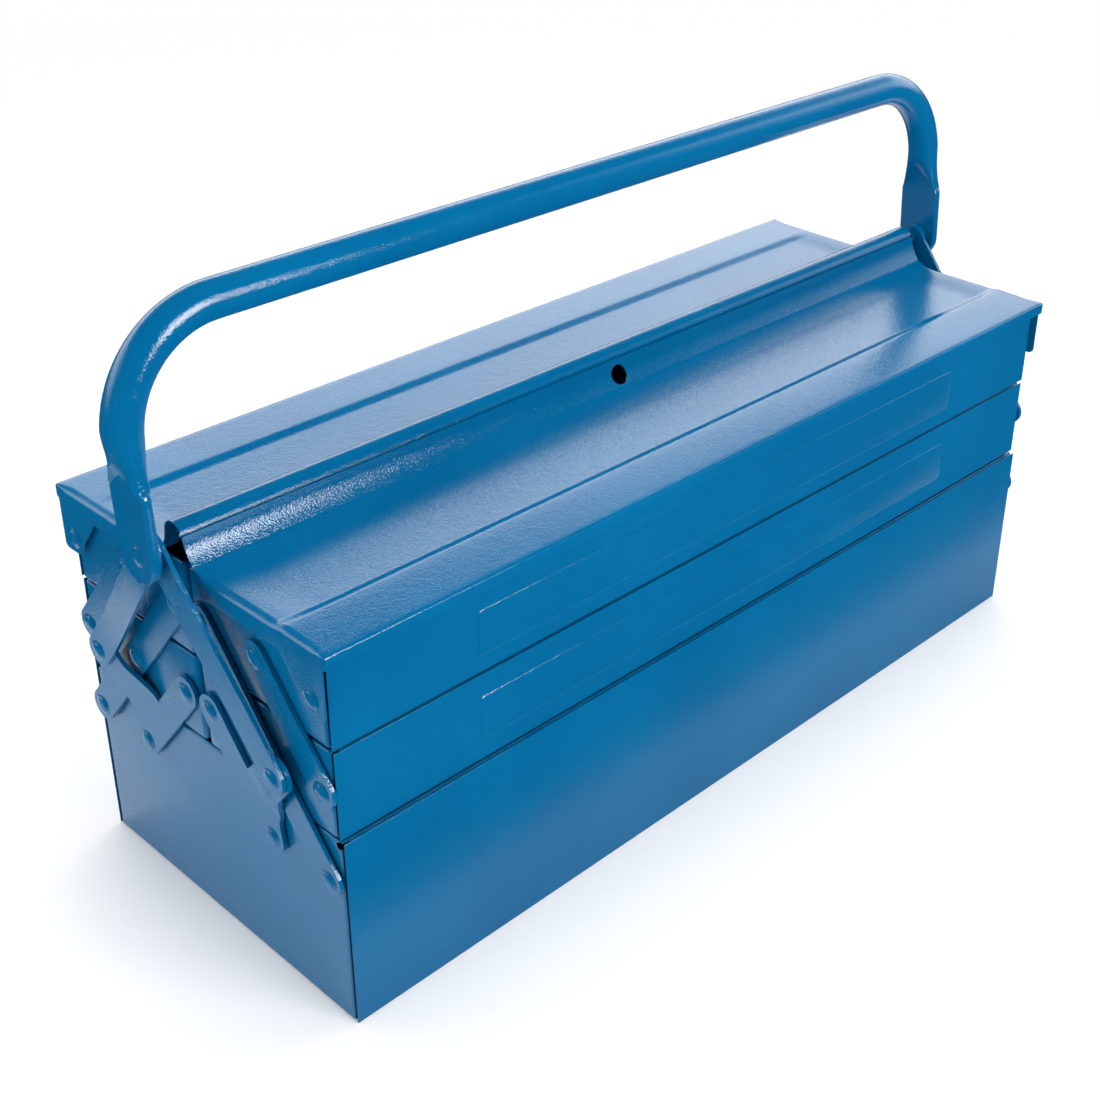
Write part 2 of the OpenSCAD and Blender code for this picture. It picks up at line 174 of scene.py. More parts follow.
def matt(name, shade, glow=0.0, far_glow=None):
    """A matt grey that may glow, and glow more far from the middle, as a lit backdrop does."""
    material, tree, shader = new_material(name)
    shader.inputs["Emission Strength"].default_value = glow
    if far_glow:
        place = tree.add("ShaderNodeTexCoord").outputs["Object"]
        away = tree.add("ShaderNodeVectorMath", {0: place}, operation="LENGTH").outputs["Value"]
        ends = {"From Min": GLOW_NEAR, "From Max": GLOW_FAR, "To Min": glow, "To Max": far_glow}
        rise = tree.add("ShaderNodeMapRange", {"Value": away, **ends})
        tree.set(shader.inputs["Emission Strength"], rise.outputs["Result"])
    shader.inputs["Base Color"].default_value = (shade, shade, shade, 1)
    shader.inputs["Emission Color"].default_value = (1, 1, 1, 1)
    shader.inputs["Roughness"].default_value = MATT_ROUGHNESS
    return material


# ---------- meshes ----------

SHARP_ANGLE = 35
CUT_SHARP_ANGLE = 40
CORNER_STEPS = 6
ROUNDING_STEPS = 3
LEAST_RADIUS = 0.001 * MM


def round_edges(piece, width, angle=SHARP_ANGLE):
    """Rounds the edges that are sharper than an angle in degrees."""
    rounding = piece.modifiers.new("rounded_edges", "BEVEL")
    rounding.width = width
    rounding.segments = ROUNDING_STEPS
    rounding.limit_method = "ANGLE"
    rounding.angle_limit = math.radians(angle)
    rounding.harden_normals = True


def put(name, bm, body, stands_for, slot, sharp=SHARP_ANGLE):
    """Makes an enamelled piece of bm that rides on a body, in place of the named nodes."""
    mesh = bpy.data.meshes.new(name)
    bm.to_mesh(mesh)
    bm.free()
    mesh.materials.append(paint)
    for polygon in mesh.polygons:
        polygon.use_smooth = True
    mesh.set_sharp_from_angle(angle=math.radians(sharp))
    piece = bpy.data.objects.new(name, mesh)
    bpy.context.collection.objects.link(piece)
    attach(piece, body)
    if stands_for:
        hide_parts(*stands_for)
    return piece


def put_solid(name, bm, *where, sharp=SHARP_ANGLE):
    """The same for a closed form, whose faces are turned outwards first."""
    bmesh.ops.recalc_face_normals(bm, faces=bm.faces)
    return put(name, bm, *where, sharp)


def loft(bm, rings):
    """Joins rings of equal length with quads, and caps the first and last."""
    rows = [[bm.verts.new(point) for point in ring] for ring in rings]
    count = len(rows[0])
    for low, high in zip(rows, rows[1:]):
        for i in range(count):
            j = (i + 1) % count
            bm.faces.new((low[i], low[j], high[j], high[i]))
    bm.faces.new(rows[0][::-1])
    bm.faces.new(rows[-1])


def arc(centre, radius, start, end, steps):
    """Points of an arc in a plane, with angles in degrees."""
    angles = [math.radians(start + (end - start) * i / steps) for i in range(steps + 1)]
    return [(centre[0] + radius * math.cos(a), centre[1] + radius * math.sin(a)) for a in angles]


def rounded_ring(x0, x1, y0, y1, radius, z):
    """A rectangle with round corners, at height z."""
    corners = ((x1, y1, 0), (x0, y1, 90), (x0, y0, 180), (x1, y0, 270))
    ring = []
    for x, y, start in corners:
        cx = x - radius if start in (0, 270) else x + radius
        cy = y - radius if start in (0, 90) else y + radius
        corner = arc((cx, cy), radius, start, start + 90, CORNER_STEPS)
        ring += [Vector((px, py, z)) for px, py in corner]
    return ring


def lathe(bm, profile, to_world, steps):
    """Turns (radius, height) points about the local Z axis and places the result."""
    rings = []
    for radius, height in profile:
        radius = max(radius, LEAST_RADIUS)
        rings.append([
            to_world @ Vector((radius * math.cos(a), radius * math.sin(a), height))
            for a in (2 * math.pi * i / steps for i in range(steps))
        ])
    loft(bm, rings)


def rod(bm, centre, axis, radius, length, segments):
    """A cylinder about a centre, along an axis."""
    bmesh.ops.create_cone(
        bm, cap_ends=True, segments=segments, radius1=radius, radius2=radius, depth=length,
        matrix=Matrix.Translation(centre) @ axis.to_track_quat("Z", "Y").to_matrix().to_4x4(),
    )


def cut_out(piece, bm):
    """Applies the piece's modifiers and cuts the solid in bm out of it, for good."""
    mesh = bpy.data.meshes.new("tool")
    bm.to_mesh(mesh)
    bm.free()
    tool = bpy.data.objects.new("tool", mesh)
    bpy.context.collection.objects.link(tool)
    cut = piece.modifiers.new("cut", "BOOLEAN")
    cut.operation = "DIFFERENCE"
    cut.solver = "EXACT"
    cut.object = tool
    bpy.context.view_layer.update()
    depsgraph = bpy.context.evaluated_depsgraph_get()
    result = bpy.data.meshes.new_from_object(piece.evaluated_get(depsgraph))
    piece.modifiers.clear()
    old = piece.data
    piece.data = result
    bpy.data.meshes.remove(old)
    bpy.data.objects.remove(tool)
    result.set_sharp_from_angle(angle=math.radians(CUT_SHARP_ANGLE))


# ---------- trays ----------

SHEET = 0.8 * MM
HEM = 2.2 * MM
HEM_DEPTH = 6.0 * MM
HEM_CHAMFER = 0.2 * MM
CORNER = 2.6 * MM
LEAST_CORNER = 0.3 * MM
FLOOR_BEND = 2.0 * MM
TRAY_SHARP = 40

# A long wall's sheet, how far it stops short of the tray's end, foot and top, and its round edge
WALL_SHEET = 0.5 * MM
WALL_END = 0.25 * MM
WALL_FOOT = 0.15 * MM
WALL_TOP = 0.1 * MM
WALL_EDGE = 0.3 * MM
# The filler behind it, which is out of sight under the rim
FILLER_END = 4 * MM
FILLER_SINK = 0.2 * MM
FILLER_TOP = 0.3 * MM

# The seam between a wall's sheet and the shell, and the shell's faces that it hides, which get a near-black
# painted shade
SEAM = 0.9 * MM
PAINTED_SHADE_FACING = 0.75
PAINTED_SHADE_REACH = 4 * MM

PANEL_LENGTH = 366 * MM
PANEL_HEIGHT = 24 * MM
PANEL_CORNER = 3 * MM
PANEL_ROOT = 0.1 * MM
PANEL_STEP = 0.4 * MM
PANEL_SLOPE = 0.75 * MM
PANEL_SHARP = 50
PANEL_LIFT = {"middle": 2.3 * MM, "upper": -1.0 * MM}

RELIEF_RADIUS = 2.0 * MM
RELIEF_LENGTH = 9 * MM
RELIEF_DROP = 2.4 * MM
RELIEF_ALONG = 2.6 * MM
RELIEF_IN = 2 * MM


def tray_profile(base, rim):
    """(inset, height) from the underside of the floor, over the hem, to the floor's top."""
    bend = (FLOOR_BEND, base + FLOOR_BEND)
    roll = HEM / 2
    hem_end = rim - HEM_DEPTH
    under_hem = [(HEM, hem_end + HEM_CHAMFER), (HEM - HEM_CHAMFER, hem_end), (SHEET, hem_end)]
    return (
        arc(bend, FLOOR_BEND, 270, 180, 5)
        + arc((roll, rim - roll), roll, 180, 0, 8)
        + under_hem
        + arc(bend, FLOOR_BEND - SHEET, 180, 270, 4)
    )


def tray(node):
    """One tray: its shell, and a sheet over each long wall that faces out."""
    low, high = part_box(node)
    if node == "bottom_tray":
        walls = (low.y, high.y)
    elif node.startswith("front"):
        walls = (low.y + PANEL_STEP,)
    else:
        walls = (high.y - PANEL_STEP,)
    y0, y1 = low.y, high.y
    for wall in walls:
        if wall < 0:
            y0 = wall + WALL_SHEET + SEAM
        else:
            y1 = wall - WALL_SHEET - SEAM
    bm = bmesh.new()
    loft(bm, [
        rounded_ring(low.x + i, high.x - i, y0 + i, y1 - i, max(CORNER - i, LEAST_CORNER), z)
        for i, z in tray_profile(low.z, high.z)
    ])
    shell = put_solid(node + "_shell", bm, body_of[node], [node], "trays", sharp=TRAY_SHARP)
    paint_shade_in_seams(shell.data, walls)
    if node == "bottom_tray":
        cut_corner_reliefs(shell, low, high)
    for wall in walls:
        long_wall(node, wall, low, high)
        if node != "bottom_tray":
            pressed_panel(node, wall, low, high)


def paint_shade_in_seams(mesh, walls):
    """Painted shade: near-black on the bent edges that the long walls' sheets cover, so that the seams show dark.
    """
    mesh.materials.append(painted_shade)
    for polygon in mesh.polygons:
        for wall in walls:
            faces_wall = polygon.normal.y * math.copysign(1, wall) > PAINTED_SHADE_FACING
            if faces_wall and abs(polygon.center.y - wall) < PAINTED_SHADE_REACH:
                polygon.material_index = 1


def box(bm, low, high):
    """A box between two corners."""
    size = Vector(high) - Vector(low)
    place = Matrix.Translation((Vector(low) + Vector(high)) / 2) @ Matrix.Diagonal((*size, 1))
    bmesh.ops.create_cube(bm, size=1, matrix=place)


def long_wall(node, wall, low, high):
    """The long wall's sheet, which laps over the bent edges of the end walls."""
    side = math.copysign(1, wall)
    filler = wall - side * FILLER_SINK
    bm = bmesh.new()
    for end, outer, thick, foot, top in (
        (high.x - WALL_END, wall, WALL_SHEET, low.z + WALL_FOOT, high.z - WALL_TOP),
        (high.x - FILLER_END, filler, WALL_SHEET + SEAM, high.z - HEM_DEPTH, high.z - FILLER_TOP),
    ):
        inner = outer - side * thick
        box(bm, (-end, min(outer, inner), foot), (end, max(outer, inner), top))
    name = f"{node}_{'front' if side < 0 else 'rear'}_wall"
    round_edges(put_solid(name, bm, body_of[node], [], "trays"), WALL_EDGE)


def pressed_panel(node, wall, low, high):
    """A plateau pressed out of the wall, with a sloping border."""
    side = math.copysign(1, wall)
    lift = PANEL_LIFT["middle" if "middle" in node else "upper"]
    middle = (low.z + high.z - HEM_DEPTH) / 2 + lift
    x, z = PANEL_LENGTH / 2, PANEL_HEIGHT / 2
    border = ((0, -PANEL_ROOT), (0, 0), (PANEL_SLOPE * 0.5, PANEL_STEP * 0.75), (PANEL_SLOPE, PANEL_STEP))
    bm = bmesh.new()
    rings = []
    for i, out in border:
        ring = rounded_ring(i - x, x - i, middle - z + i, middle + z - i, PANEL_CORNER - i, 0)
        rings.append([Vector((p.x, wall + side * out, p.y)) for p in ring])
    loft(bm, rings)
    put_solid(node + "_panel", bm, body_of[node], [], "trays", sharp=PANEL_SHARP)


def cut_corner_reliefs(shell, low, high):
    """Small holes where the end walls' bent edges stop under the rim."""
    bm = bmesh.new()
    for x in (low.x, high.x):
        for y in (low.y, high.y):
            inward = Vector((-math.copysign(1, x), -math.copysign(1, y), 0)).normalized()
            corner = Vector((x, y - math.copysign(RELIEF_ALONG, y), high.z - RELIEF_DROP))
            rod(bm, corner + inward * RELIEF_IN, inward, RELIEF_RADIUS, RELIEF_LENGTH, 24)
    # The holes' walls take the near-black material: painted shade inside the holes
    for face in bm.faces:
        face.material_index = 1
    cut_out(shell, bm)


# ---------- lids ----------

LIP_BEND = 1.6 * MM
LIP_DEPTH = 6.5 * MM
LIP_CORNER = 0.22
END_BEND = 4.0 * MM
BEND_FADE = 9 * MM
STRIP_WIDTH = 29 * MM
STRIP_DROP = 1.2 * MM
STRIP_TILT = 0.9 * MM
# The front lid's strip rises by its tilt from the lip to the step: the share at four places
TILT_SHARES = (0.15, 0.45, 0.9, 1)
LAND_START = 6 * MM
LAND_END = 0.6 * MM
STEP_WIDTH = 7.6 * MM
STEP_SHARES = (0.08, 0.2, 0.35, 0.5, 0.65, 0.8, 0.92, 1.0)
STEP_RUN_OUT = 22 * MM
RUN_OUT_SHARES = (0.2, 0.4, 0.6, 0.8, 0.99)
SWEEP_START = 30 * MM
SWEEP_STEPS = 8
RIDGE_FOOT = 13 * MM
RIDGE_RISE = 13.8 * MM
FOOT_RISE = 3.4 * MM
# Points up the ridge's walls, as (out, up): out from the front wall's edge or from the box's middle
FRONT_WALL = ((3.8 * MM, 6.8 * MM), (1.9 * MM, 10 * MM), (0.6 * MM, 13.6 * MM))
REAR_WALL = ((10.6 * MM, 6.8 * MM), (8.6 * MM, 10.4 * MM))
# The rear lid's roll, and the hem that turns in behind the front lid's edge
ROLL = 7 * MM
ROLL_OFFSET = 0.5 * MM
ROLL_END = 154
HEM_TURN = 16
HEM_INSET = 1.3 * MM
COVER_GAP = 0.95 * MM
EDGE_DROP = 1.0 * MM
FLANGE_DEPTH = 10.6 * MM
FLANGE_START = 3 * MM
FLANGE_SLOPE = 0.2 * MM
EAR = 8 * MM
# Where the flange's edge turns down to the ear, and where it meets it: in the ear's radii
EAR_TURN = 2.6
EAR_MEET = (1.75, 0.85)
EAR_SETBACK = 2.2 * MM
EAR_CORNER = 3 * MM
LIP_TUCK = 0.5 * MM
LID_SHARP = 50
WELD = 0.01 * MM

PADLOCK_HOLE = 11 * MM
PADLOCK_TILT = math.radians(32)
PADLOCK_OUT = 9 * MM
PADLOCK_UP = 8.6 * MM
PUNCH_LENGTH = 8 * MM
PUNCH_OUT = 1.5 * MM


def smooth(t):
    """A soft rise from 0 to 1."""
    return t * t * (3 - 2 * t)


def clamp(t):
    """The nearest number to t from 0 to 1."""
    return min(max(t, 0), 1)


def curve_through(points, steps):
    """Catmull-Rom curve through the points, with about the given number of steps."""
    per = max(1, round(steps / (len(points) - 1)))
    padded = [points[0], *points, points[-1]]
    curve = [points[0]]
    for knots in zip(padded, padded[1:], padded[2:], padded[3:]):
        for i in range(1, per + 1):
            curve.append(tuple(catmull_rom(i / per, *axis) for axis in zip(*knots)))
    return curve


def catmull_rom(t, a, b, c, d):
    """The curve between b and c, at a share t of the way."""
    square = 2 * a - 5 * b + 4 * c - d
    cube = 3 * b - a - 3 * c + d
    return 0.5 * (2 * b + (c - a) * t + square * t * t + cube * t ** 3)


class Lid:
    """A lid's sections, with +Y outwards. Both lids take their sizes from the rear lid's box."""

    def __init__(self, tilt):
        low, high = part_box("rear_lid")
        hinge = joints["rear_lid_hinge"]["pos_m"]
        self.tilt = tilt
        self.out = high.y
        self.end = high.x
        self.roll_centre = (ROLL_OFFSET, high.z - ROLL)
        self.top = self.roll_centre[1] - RIDGE_RISE
        self.flat = self.top - STRIP_DROP
        self.foot = (RIDGE_FOOT, self.flat + FOOT_RISE)
        self.pivot = (hinge[1], hinge[2])

    def top_path(self, step_share):
        """Top of the lid from its lip to the ridge's foot. step_share fades the step."""
        path = [(self.out, self.top - LIP_DEPTH), (self.out, self.top - LIP_DEPTH / 2)]
        path += arc((self.out - LIP_BEND, self.top - LIP_BEND), LIP_BEND, 0, 90, 6)
        step = self.out - STRIP_WIDTH
        drop = STRIP_DROP * step_share
        bend_end = self.out - BEND_FADE
        places = (bend_end + BEND_FADE / 2, bend_end - LIP_BEND, step + LAND_START, step + LAND_END)
        path += [(y, self.top + self.tilt * share) for y, share in zip(places, TILT_SHARES)]
        for share in STEP_SHARES:
            fall = (drop + self.tilt) * smooth(share)
            path.append((step - STEP_WIDTH * share, self.top + self.tilt - fall))
        foot_y, foot_z = self.foot
        start = self.top - drop
        for i in range(SWEEP_STEPS + 1):
            s = i / SWEEP_STEPS
            path.append((SWEEP_START + (foot_y - SWEEP_START) * s, start + (foot_z - start) * s * s))
        return path

    def front_ridge(self):
        """The ridge's front wall, from its foot to an edge that clears the roll's end."""
        roll_end = arc(self.roll_centre, ROLL, 0, ROLL_END, 1)[1]
        edge = COVER_GAP - roll_end[0]
        wall = [(edge + y, self.flat + z) for y, z in FRONT_WALL]
        return curve_through([self.foot, *wall, (edge, roll_end[1] - EDGE_DROP)], 12)[1:]

    def rear_ridge(self):
        """The ridge's rear wall, its roll and the hem at the roll's end."""
        wall = [(y, self.flat + z) for y, z in REAR_WALL]
        start = (self.roll_centre[0] + ROLL, self.roll_centre[1])
        roll = arc(self.roll_centre, ROLL, 0, ROLL_END, 20)
        hem = arc(self.roll_centre, ROLL - HEM_INSET, ROLL_END, ROLL_END + HEM_TURN, 2)
        return curve_through([self.foot, *wall, start], 9)[1:] + roll[1:] + hem

    def flange_outline(self):
        """Lower edge of the end flange, from the ridge's foot to the lip."""
        low = self.top - FLANGE_DEPTH
        y, z = self.pivot
        front = self.out - EAR_SETBACK
        start = (RIDGE_FOOT + FLANGE_START, low)
        turn = (y - EAR_TURN * EAR, low + FLANGE_SLOPE)
        meet = (y - EAR_MEET[0] * EAR, z + EAR_MEET[1] * EAR)
        ear = arc(self.pivot, EAR, 185, 275, 9)
        corner = arc((front - EAR_CORNER, z - EAR + EAR_CORNER), EAR_CORNER, 270, 360, 5)
        return [start, turn, meet] + ear + corner + [(front, self.top - LIP_DEPTH - LIP_TUCK)]

    def bend_radius(self, y):
        """How softly the lid bends down into its flange: tight at the lip, none at the ridge."""
        from_lip = clamp((self.out - LIP_BEND - y) / BEND_FADE)
        from_ridge = clamp((y - RIDGE_FOOT) / BEND_FADE)
        return END_BEND * smooth(from_ridge) * (LIP_CORNER + (1 - LIP_CORNER) * smooth(from_lip))


def normals_2d(path):
    """Outward normals of a lid path, which runs with its top side on the right."""
    result = []
    for i in range(len(path)):
        a, b = path[max(i - 1, 0)], path[min(i + 1, len(path) - 1)]
        dy, dz = b[0] - a[0], b[1] - a[1]
        length = math.hypot(dy, dz)
        result.append((dz / length, -dy / length))
    return result


def lid_columns(shape, ridge, side):
    """Sections of the lid from its middle to its end, then down around the end's bend."""
    start = shape.end - END_BEND - STEP_RUN_OUT
    stations = [(x, 1, 0) for x in (0, start * 0.5, start)]
    stations += [(start + STEP_RUN_OUT * t, 1 - smooth(t), 0) for t in RUN_OUT_SHARES]
    stations += [(None, 0, math.radians(angle)) for angle in range(0, 91, 15)]
    columns = []
    for x, step_share, angle in stations:
        path = shape.top_path(step_share) + ridge
        column = []
        for (y, z), (ny, nz) in zip(path, normals_2d(path)):
            radius = shape.bend_radius(y)
            sink = radius * (1 - math.cos(angle))
            place = shape.end - radius * (1 - math.sin(angle)) if x is None else x
            column.append((place, side * (y - ny * sink), z - nz * sink))
        columns.append(column)
    return columns


def lid(node):
    """One lid: a sheet with a folded lip, a stepped top, a ridge and bent end flanges."""
    side = -1 if node.startswith("front") else 1
    shape = Lid(STRIP_TILT if side < 0 else 0)
    columns = lid_columns(shape, shape.front_ridge() if side < 0 else shape.rear_ridge(), side)
    foot = len(shape.top_path(1))
    bm = bmesh.new()
    for mirror in (1, -1):
        rows = [[bm.verts.new((mirror * x, y, z)) for x, y, z in column] for column in columns]
        for near, far in zip(rows, rows[1:]):
            for i in range(len(near) - 1):
                bm.faces.new((near[i], near[i + 1], far[i + 1], far[i]))
        flange = [bm.verts.new((mirror * shape.end, side * y, z)) for y, z in shape.flange_outline()]
        bm.faces.new(rows[-1][:foot] + flange)
    bmesh.ops.remove_doubles(bm, verts=bm.verts, dist=WELD)
    bmesh.ops.dissolve_degenerate(bm, edges=bm.edges, dist=WELD / 2)
    bmesh.ops.recalc_face_normals(bm, faces=bm.faces)
    if max(bm.faces, key=lambda f: f.calc_area()).normal.z < 0:
        bmesh.ops.reverse_faces(bm, faces=bm.faces)
    piece = put(node + "_sheet", bm, body_of[node], [node], "lids", LID_SHARP)
    thick = piece.modifiers.new("sheet", "SOLIDIFY")
    thick.thickness = SHEET
    thick.offset = -1
    punch_padlock_hole(piece, shape, side)


def punch_padlock_hole(piece, shape, side):
    """Punches the padlock's hole square to the ridge's wall."""
    axis = Vector((0, side * math.cos(PADLOCK_TILT), math.sin(PADLOCK_TILT)))
    centre = Vector((0, side * PADLOCK_OUT, shape.flat + PADLOCK_UP))
    bm = bmesh.new()
    rod(bm, centre + axis * PUNCH_OUT, axis, PADLOCK_HOLE / 2, PUNCH_LENGTH, 48)
    cut_out(piece, bm)


# ---------- links ----------

LINK_EDGE = 0.45 * MM
LINK_WELD = 0.002 * MM
FLAT_ANGLE = math.radians(0.5)
BAR = 2.2 * MM
# A crank's ear from its lower pivot, and its lug's root along and across its bar
EAR_OUT = 18.3 * MM
EAR_UP = 48.6 * MM
LUG_ROOT = (18.9 * MM, 10.4 * MM)
LUG_RISE = 7 * MM
# Where a bend starts and ends along the lug or the arm, and over what length it is rounded
LUG_CREASES = (0, 24 * MM)
LUG_SOFT_CREASES = (4 * MM, 24 * MM)
LUG_BOW = 8 * MM
LUG_REACH = 14.3 * MM
ARM_CREASES = (24 * MM, 88 * MM)
ARM_BOW = 30 * MM
SLICE = 1 * MM
SLICES = range(-8, 100)
ROOT_REACH = 8 * MM


def climb(s, start, end):
    """Integral of a straight rise from 0 to 1 between start and end."""
    if s <= start:
        return 0
    if s >= end:
        return (end - start) / 2 + s - end
    return (s - start) ** 2 / (2 * (end - start))


def bowed(s, start, end, bow):
    """The same rise with its two creases rounded over a length."""
    return (climb(s + bow / 2, start, end) - climb(s - bow / 2, start, end)) / bow


def link(node, bend=None):
    """A CAD link with its edges rounded by thick enamel, and its creases bent softly."""
    bm = bmesh.new()
    bm.from_mesh(nodes[node].data)
    bmesh.ops.remove_doubles(bm, verts=bm.verts, dist=LINK_WELD)
    bmesh.ops.dissolve_limit(bm, angle_limit=FLAT_ANGLE, verts=bm.verts, edges=bm.edges)
    if bend:
        bend_softly(bm, *bend)
    round_edges(put_solid(node + "_piece", bm, body_of[node], [node], "links"), LINK_EDGE)


def bend_softly(bm, root, way, creases, soft_creases, bow, rise, most_across):
    """Turns a straight ramp between two creases into a soft one, along way from root.

    Close to the root, vertices that are further than most_across from the line stay in place.
    """
    across = Vector((0, way.z, -way.y))
    for i in SLICES:
        geometry = bm.verts[:] + bm.edges[:] + bm.faces[:]
        bmesh.ops.bisect_plane(bm, geom=geometry, plane_co=root + way * (i * SLICE), plane_no=way)
    for vert in bm.verts:
        place = vert.co - root
        s = place.dot(way)
        if abs(place.dot(across)) < most_across or s > ROOT_REACH:
            straight = clamp((s - creases[0]) / (creases[1] - creases[0]))
            vert.co.x += math.copysign(rise, vert.co.x) * (bowed(s, *soft_creases, bow) - straight)


def crank_ear(side):
    """A crank's lower pivot, its upper pivot, its ear and the way out, at the front or rear."""
    foot = Vector(joints[side + "_crank_swing"]["pos_m"])
    reach = Vector(joints[side + "_middle_swing"]["pos_m"]) - Vector(joints[side + "_fold"]["pos_m"])
    out = -1 if side == "front" else 1
    return foot, foot + reach, foot + Vector((0, out * EAR_OUT, EAR_UP)), out


def crank(node):
    """A crank, with a soft bend in the lug that carries its ear."""
    foot, top, ear, out = crank_ear(node.split("_")[0])
    bar = (top - foot).normalized()
    along, across = LUG_ROOT
    root = foot + bar * along + Vector((0, out * bar.z, abs(bar.y))) * across
    way = (ear - root).normalized()
    link(node, (root, way, LUG_CREASES, LUG_SOFT_CREASES, LUG_BOW, LUG_RISE, LUG_REACH))


def arm(node):
    """A handle arm, bent softly from its ear out to the handle's foot."""
    ear = crank_ear(node.split("_")[0])[2]
    way = (Vector(joints["handle_swing"]["pos_m"]) - ear).normalized()
    low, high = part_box(node)
    rise = high.x - low.x - BAR
    link(node, (ear, way, ARM_CREASES, ARM_CREASES, ARM_BOW, rise, math.inf))


# ---------- rivets ----------

HEAD_SHARE = 0.86
HEAD_RIM = 0.3 * MM
HEAD_MOST = 3 * MM
USUAL_SEAT = 1.2 * MM
AT_RIM = 0.97
DOME_STEP = 9
DOME_STEPS = 10
COLLAR = 0.5 * MM
COLLAR_HEIGHT = 0.25 * MM
COLLAR_TOP = 0.1 * MM
COLLAR_EDGE = 0.8
COLLAR_FOOT = 0.2 * MM
SHANK_SHARE = 0.53
RIVET_SEGMENTS = 40
RIVET_SHARP = 50
RIVET_WELD = 0.001 * MM


def islands(mesh):
    """The vertices of each separate solid in a mesh."""
    bm = bmesh.new()
    bm.from_mesh(mesh)
    bmesh.ops.remove_doubles(bm, verts=bm.verts, dist=RIVET_WELD)
    left = set(bm.verts)
    groups = []
    for first in bm.verts:
        if first not in left:
            continue
        left.remove(first)
        stack = [first]
        group = []
        while stack:
            vert = stack.pop()
            group.append(vert.co.copy())
            for edge in vert.link_edges:
                other = edge.other_vert(vert)
                if other in left:
                    left.remove(other)
                    stack.append(other)
        groups.append(group)
    bm.free()
    return groups


def rivet_profile(radius, seat, length):
    """(radius, depth) of a rivet from the top of its dome, over its collar, to its far end."""
    head = radius * HEAD_SHARE
    dome = seat - HEAD_RIM
    angles = [math.radians(DOME_STEP * i) for i in range(DOME_STEPS + 1)]
    return [(head * math.sin(a), dome * (1 - math.cos(a))) for a in angles] + [
        (head + COLLAR_TOP, seat - COLLAR_HEIGHT),
        (radius + COLLAR, seat - COLLAR_HEIGHT * COLLAR_EDGE),
        (radius + COLLAR + COLLAR_FOOT, seat),
        (radius * SHANK_SHARE, seat),
        (radius * SHANK_SHARE, length),
    ]


def rivets(node):
    """Domed heads in a thin collar of pooled enamel, on the CAD rivets' axes."""
    bm = bmesh.new()
    for points in islands(nodes[node].data):
        x0, x1 = min(p.x for p in points), max(p.x for p in points)
        y = (min(p.y for p in points) + max(p.y for p in points)) / 2
        z = (min(p.z for p in points) + max(p.z for p in points)) / 2
        radius = max(math.hypot(p.y - y, p.z - z) for p in points)
        out = 1 if x0 + x1 > 0 else -1
        tip, root = (x1, x0) if out > 0 else (x0, x1)
        rim = [p for p in points if math.hypot(p.y - y, p.z - z) > radius * AT_RIM]
        depths = [abs(tip - p.x) for p in rim]
        seat = max((depth for depth in depths if depth < HEAD_MOST), default=USUAL_SEAT)
        turn = Matrix.Translation((tip, y, z)) @ Matrix.Rotation(-out * math.pi / 2, 4, "Y")
        lathe(bm, rivet_profile(radius, seat, abs(tip - root)), turn, RIVET_SEGMENTS)
    put_solid(node + "_piece", bm, body_of[node], [node], "rivets", sharp=RIVET_SHARP)


# ---------- handle ----------

TUBE = 9.1 * MM
BEND_RADIUS = 51 * MM
BEND_STEPS = 18
LEAN = math.radians(2.8)
HANDLE_SHARP = 40
CREASE_WIDTH = 0.5 * MM
CREASE_ANGLE = 32

# The foot: half its width, its faces out from the tube's axis, and its dished, rounded plate
FOOT_HALF = 13.2 * MM
FOOT_INNER = -2.0 * MM
FOOT_FACE = 2.8 * MM
FOOT_EDGE = 0.7 * MM
LEAST_HALF = 1.5 * MM
TIP_ANGLES = (86, 78, 68, 56, 44, 32, 20, 10, 0)
PLATE_AT = (8 * MM, 16 * MM, 24 * MM, 30 * MM)
DISH = 0.9 * MM
DISH_SHARE = 0.88
DISH_POWER = 2.5

# The swage up to the tube. It starts with a step that drops away to both sides, the nose
NOSE = 6.0 * MM
NOSE_HALF = 10 * MM
NOSE_MOST = 1.2
NOSE_FOOT = 38.5 * MM
NOSE_FOOT_DROP = 5.5 * MM
NOSE_TOP = 45 * MM
NOSE_TOP_DROP = 10 * MM
NOSE_ROUNDNESS = 0.45
NECK_INSET = 0.5 * MM
SHOULDER_INSET = 0.8 * MM
WIDTH_FROM, WIDTH_OVER = 39 * MM, 18 * MM
BACK_FROM, BACK_OVER = 38 * MM, 17 * MM
TUBE_FROM = 60 * MM
SWAGE_STEPS = 8

# Points on a section's broad faces and on each side, and the angle that a broad face covers
ACROSS = 25
ROUND_SIDE = 4
FACE_ANGLE = 80
SIDE_ANGLE = 20


def mix(a, b, t):
    """Goes softly from a to b as t goes from 0 to 1."""
    return a + (b - a) * smooth(clamp(t))


def leg_section(half, inner, face, roundness):
    """A leg's outline as (out, across) points: flat and dished at 0, the round tube at 1."""
    outer, back = [], []
    for i in range(ACROSS):
        w = 2 * i / (ACROSS - 1) - 1
        y = (half - FOOT_EDGE) * w
        dish = DISH * max(0, 1 - (abs(w) / DISH_SHARE) ** DISH_POWER)
        angle = math.radians(FACE_ANGLE * w)
        round_x, round_y = math.cos(angle), half * math.sin(angle)
        outer.append((mix(face - dish, face * round_x, roundness), mix(y, round_y, roundness)))
        back.append((mix(inner, inner * round_x, roundness), -mix(y, round_y, roundness)))
    sides = []
    for sign in (1, -1):
        side = []
        for i in range(1, ROUND_SIDE + 1):
            t = i / (ROUND_SIDE + 1)
            angle = math.radians(FACE_ANGLE + SIDE_ANGLE * t)
            flat_x = face - FOOT_EDGE - (face - inner - 2 * FOOT_EDGE) * t
            reach = face if math.cos(angle) > 0 else -inner
            x = mix(flat_x, reach * math.cos(angle), roundness)
            side.append((x, sign * mix(half, half * math.sin(angle), roundness)))
        sides.append(side)
    return outer + sides[0] + back + sides[1][::-1]


